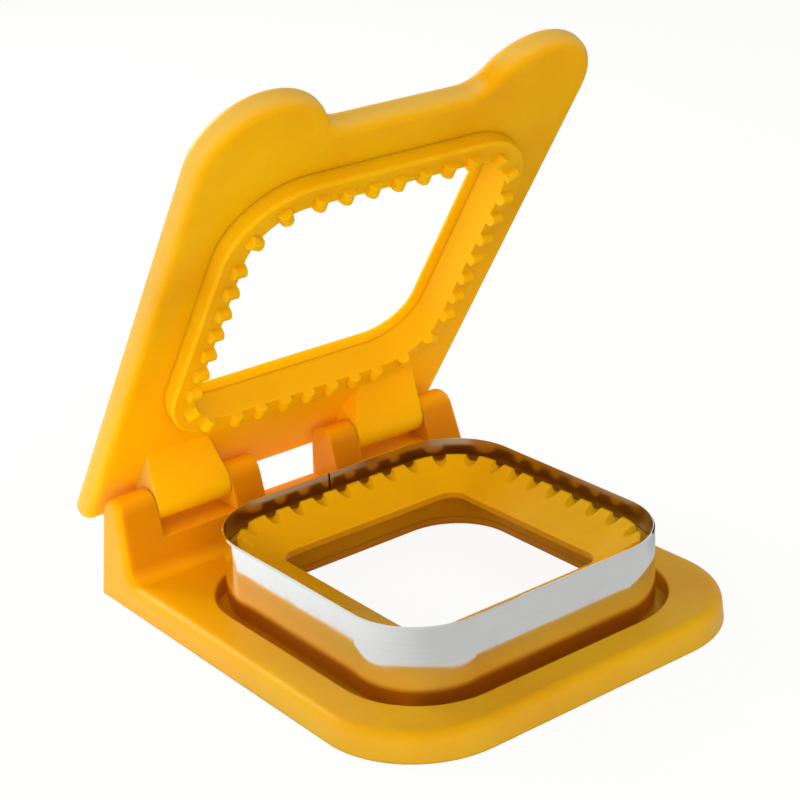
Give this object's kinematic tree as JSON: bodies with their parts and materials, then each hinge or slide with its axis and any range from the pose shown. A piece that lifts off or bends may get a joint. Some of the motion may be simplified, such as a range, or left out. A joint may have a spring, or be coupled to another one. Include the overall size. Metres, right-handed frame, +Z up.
{
  "type": "sandwich cutter and sealer",
  "caption": "Hinged hand press with a square steel band in a tray and a windowed, eared lid that cuts a sandwich's crusts off and crimps its edge.",
  "frame": {"origin": "on the surface that the tray stands on, under the middle of the whole object's bounding box with the lid in its stored half-open pose", "axes": "+X along the hinge axis, from the object's left to its right seen from the front; +Y from the front towards the hinge; +Z up"},
  "size_m": [0.1184, 0.1428, 0.1447],
  "materials": {
    "tray_plastic": "soft satin gloss moulded plastic, yellow orange",
    "lower_ring_plastic": "soft satin gloss moulded plastic, yellow orange",
    "lid_plastic": "soft satin gloss moulded plastic, yellow orange",
    "upper_ring_plastic": "soft satin gloss moulded plastic, yellow orange",
    "polished_band": "bright polished stainless strip with fine rolling lines",
    "pin_steel": "drawn steel wire"
  },
  "bodies": {
    "base": {"base_tray": "tray_plastic", "cutter_band": "polished_band", "lower_crimp_ring": "lower_ring_plastic", "hinge_pin_left": "pin_steel", "hinge_pin_right": "pin_steel"},
    "lid": {"lid_frame": "lid_plastic", "upper_crimp_ring": "upper_ring_plastic"}
  },
  "joints": [
    {"name": "lid_hinge", "type": "hinge", "parent": "base", "child": "lid", "pos_m": [0, 0.05447, 0.023], "axis": [-1, 0, 0], "range_deg": [-55.8, 34]}
  ]
}
